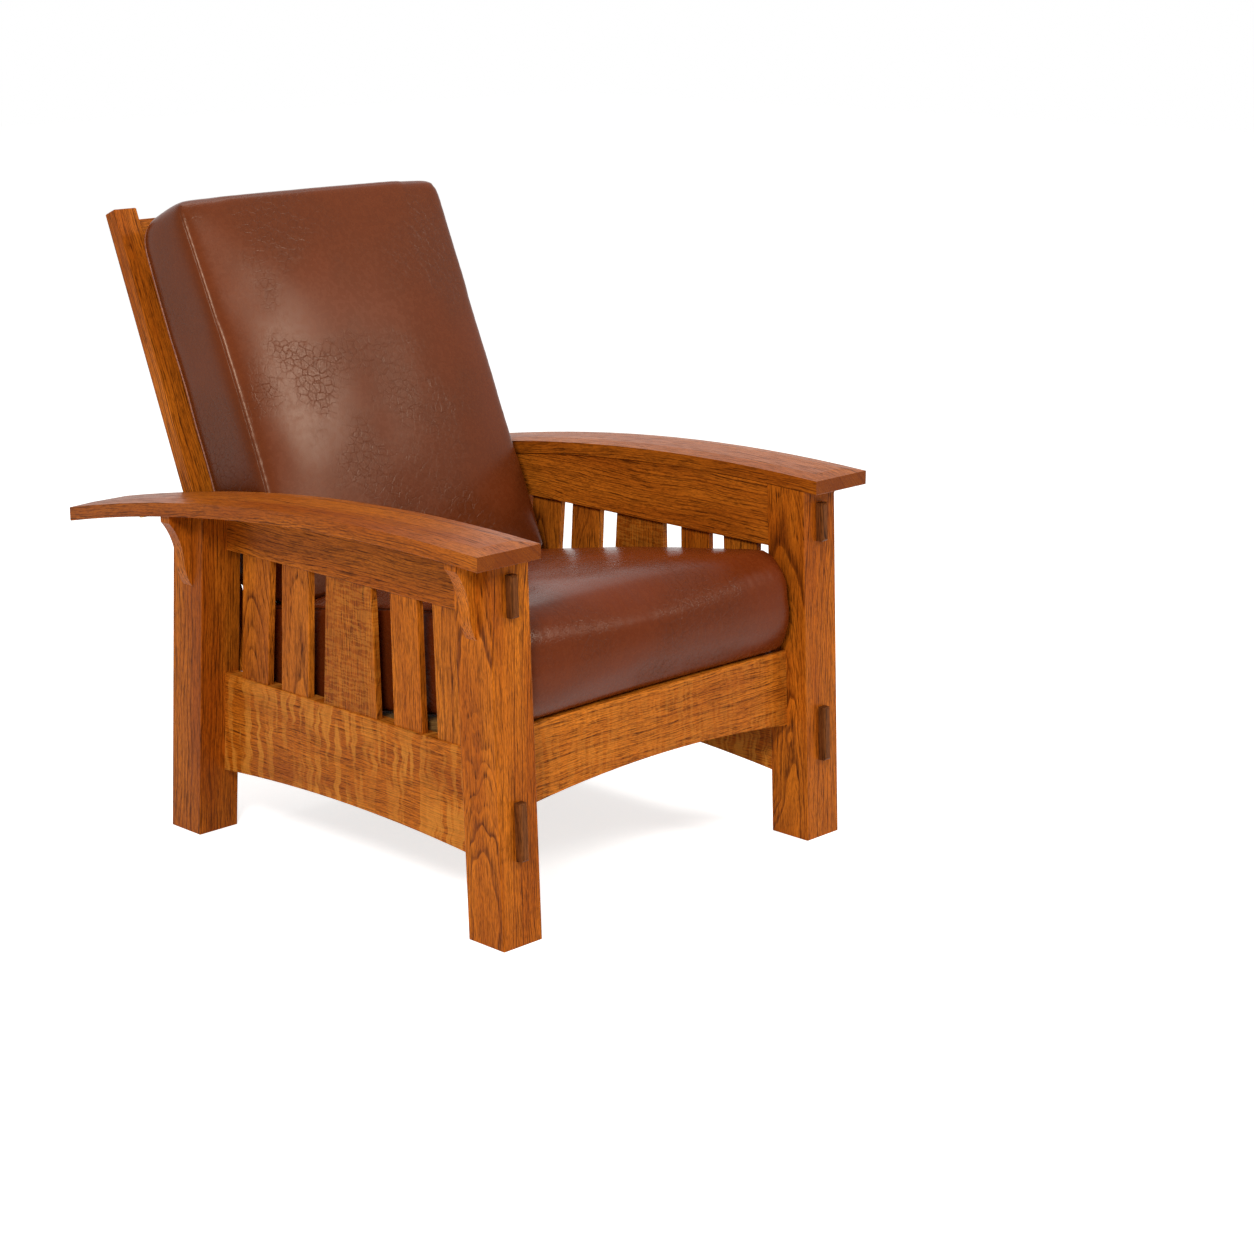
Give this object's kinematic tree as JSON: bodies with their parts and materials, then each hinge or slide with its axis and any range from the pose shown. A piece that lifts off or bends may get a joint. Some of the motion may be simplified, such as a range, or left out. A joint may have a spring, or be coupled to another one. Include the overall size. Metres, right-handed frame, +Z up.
{
  "type": "reclining armchair",
  "caption": "Oak mission armchair with long bowed arms over slatted sides and leather seat and back cushions; its hinged back reclines against a sliding steel rod.",
  "frame": {"origin": "on the floor, under the middle of the whole chair's length and width", "axes": "+X across the chair to the right of someone who looks at its front, +Y to the rear, +Z up; the chair faces -Y"},
  "size_m": [0.838, 1.0316, 1.0126],
  "materials": {
    "oak": "quarter-sawn oak, stained and waxed",
    "walnut": "dark stained tenon ends, waxed",
    "maple": "plain sawn secondary wood, unfinished",
    "leather": "semi-gloss aniline leather with fine creases",
    "webbing": "jute webbing",
    "steel": "darkened steel",
    "bronze": "plain sintered bronze",
    "knob_brass": "turned brass, aged"
  },
  "bodies": {
    "frame": {"leg_front_left": "oak", "leg_rear_left": "oak", "leg_front_right": "oak", "leg_rear_right": "oak", "arm_left": "oak", "arm_right": "oak", "arm_dowels": "maple", "upper_side_rail_left": "oak", "lower_side_rail_left": "oak", "side_slat_left_1": "oak", "side_slat_left_2": "oak", "side_slat_left_3": "oak", "side_slat_left_4": "oak", "side_slat_left_5": "oak", "upper_side_rail_right": "oak", "lower_side_rail_right": "oak", "side_slat_right_1": "oak", "side_slat_right_2": "oak", "side_slat_right_3": "oak", "side_slat_right_4": "oak", "side_slat_right_5": "oak", "front_rail": "oak", "rear_rail": "oak", "corbel_front_left": "oak", "corbel_rear_left": "oak", "corbel_front_right": "oak", "corbel_rear_right": "oak", "lower_tenon_ends": "walnut", "upper_tenon_ends": "walnut", "seat_cleat_front": "maple", "seat_cleat_rear": "maple", "cleat_screws": "steel", "seat_frame_front": "maple", "seat_frame_rear": "maple", "seat_frame_left": "maple", "seat_frame_right": "maple", "webbing_lengthwise": "webbing", "webbing_crosswise": "webbing", "seat_cushion": "leather", "pivot_bolts": "steel", "pivot_washers": "steel", "rod_guide_left": "steel", "rod_guide_right": "steel", "guide_screws": "steel", "clamp_washers": "steel"},
    "back": {"back_post_left": "oak", "back_post_right": "oak", "back_bottom_rail": "oak", "back_top_rail": "oak", "back_slat_1": "oak", "back_slat_2": "oak", "back_slat_3": "oak", "back_slat_4": "oak", "back_cushion": "leather", "pivot_bushes": "bronze"},
    "recline_rod": {"recline_rod": "steel"},
    "clamp_screw_left": {"clamp_screw_left": "knob_brass"},
    "clamp_screw_right": {"clamp_screw_right": "knob_brass"}
  },
  "joints": [
    {"name": "back_recline", "type": "hinge", "parent": "frame", "child": "back", "pos_m": [0, 0.21825, 0.29], "axis": [-1, 0, 0], "range_deg": [0, 20]},
    {"name": "rod_slide", "type": "slide", "parent": "frame", "child": "recline_rod", "axis": [0, 0.9819, -0.1892], "range_m": [0, 0.1058]},
    {"name": "clamp_left_turn", "type": "hinge", "parent": "frame", "child": "clamp_screw_left", "pos_m": [-0.2889, 0.45516, 0.49067], "axis": [0, 0.1892, 0.9819], "range_deg": [0, 360]},
    {"name": "clamp_right_turn", "type": "hinge", "parent": "frame", "child": "clamp_screw_right", "pos_m": [0.2889, 0.45516, 0.49067], "axis": [0, 0.1892, 0.9819], "range_deg": [0, 360]}
  ],
  "couplings": [
    {"joint": "rod_slide", "follows": "back_recline", "m_per_rad": 0.30272}
  ]
}
